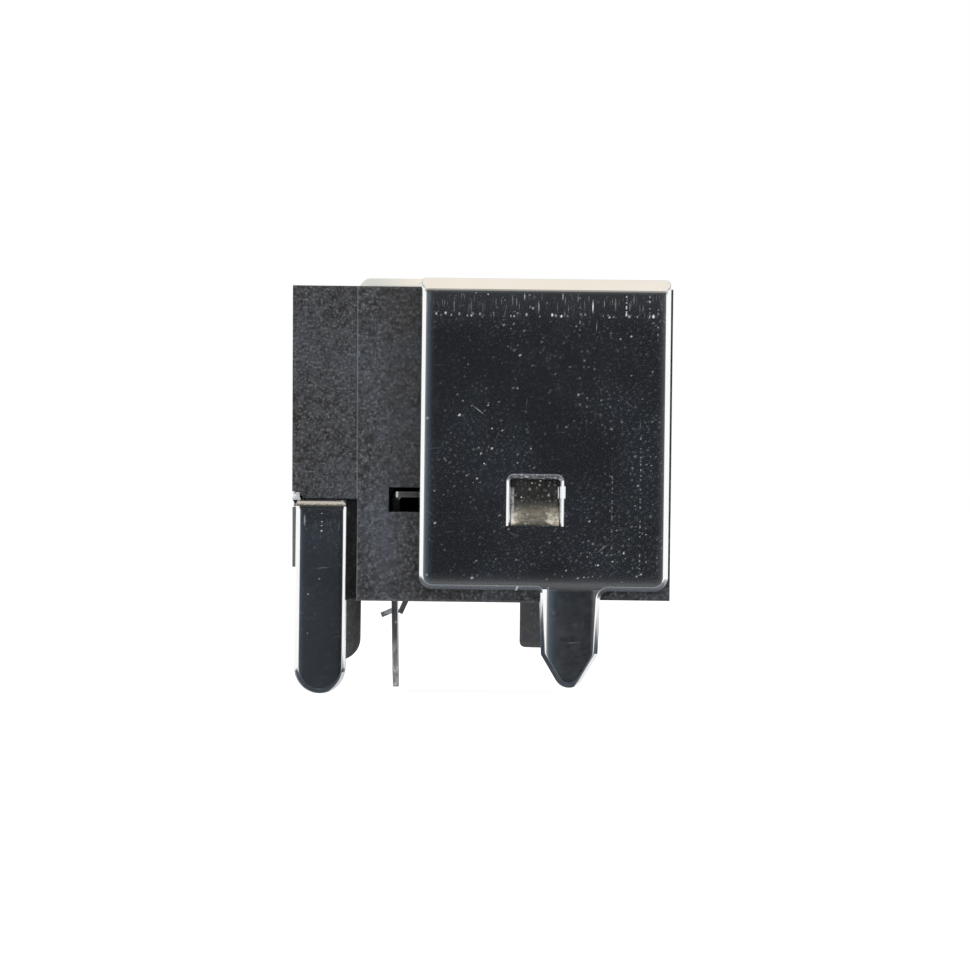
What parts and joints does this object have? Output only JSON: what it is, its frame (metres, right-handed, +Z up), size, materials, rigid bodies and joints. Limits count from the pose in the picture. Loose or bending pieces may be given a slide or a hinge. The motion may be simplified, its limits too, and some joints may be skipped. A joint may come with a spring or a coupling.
{
  "type": "dc barrel jack",
  "caption": "Shielded right-angle through-hole dc power jack with a moulded housing, a centre pin and stamped legs.",
  "frame": {"origin": "on the board face, below the middle of the housing's length and width", "axes": "+X points out of the socket mouth, +Y to the far side in the picture, +Z up away from the board"},
  "size_m": [0.0133, 0.0096, 0.0146],
  "materials": {
    "housing_plastic": "fine matt moulded",
    "plated_pin": "turned and nickel plated",
    "tinned_strip": "bright tin plate",
    "plated_spring": "satin tin plate",
    "plated_sheet": "mirror nickel plate"
  },
  "bodies": {
    "root": {"housing": "housing_plastic", "centre_pin": "plated_pin", "centre_terminal": "tinned_strip", "sleeve_contact": "plated_spring", "shield": "plated_sheet"}
  },
  "joints": []
}
